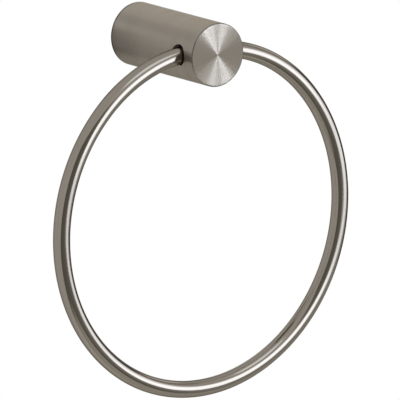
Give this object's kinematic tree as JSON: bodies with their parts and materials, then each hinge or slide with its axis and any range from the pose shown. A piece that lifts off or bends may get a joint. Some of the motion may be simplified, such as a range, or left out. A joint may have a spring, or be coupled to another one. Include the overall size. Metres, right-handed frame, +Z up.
{
  "type": "towel ring",
  "caption": "Wall-mounted towel ring: a round satin post on a hidden wall bracket, with a round bar ring that hangs and swings in a cross bore near the post's front face.",
  "frame": {"origin": "on the wall plane, where the post's axis meets it, at the middle of the wall screw pattern", "axes": "+Y into the wall along the post's axis, so the post stands out along -Y; +Z up, with the ring hanging down; +X to the right as seen from the front"},
  "size_m": [0.17, 0.063, 0.1791],
  "materials": {
    "turned_nickel": "turned satin, with a spun front face",
    "drawn_nickel": "fine satin, brighter than the post",
    "zinc_plate": "dull zinc plate",
    "dark_steel": "black oxide"
  },
  "bodies": {
    "wall_post": {"post": "turned_nickel", "wall_bracket": "zinc_plate", "set_screw": "dark_steel"},
    "ring": {"ring": "drawn_nickel"}
  },
  "joints": [
    {"name": "ring_swing", "type": "hinge", "parent": "wall_post", "child": "ring", "pos_m": [0, -0.052, -0.0002], "axis": [-1, 0, 0], "range_deg": [-17, 197]}
  ]
}
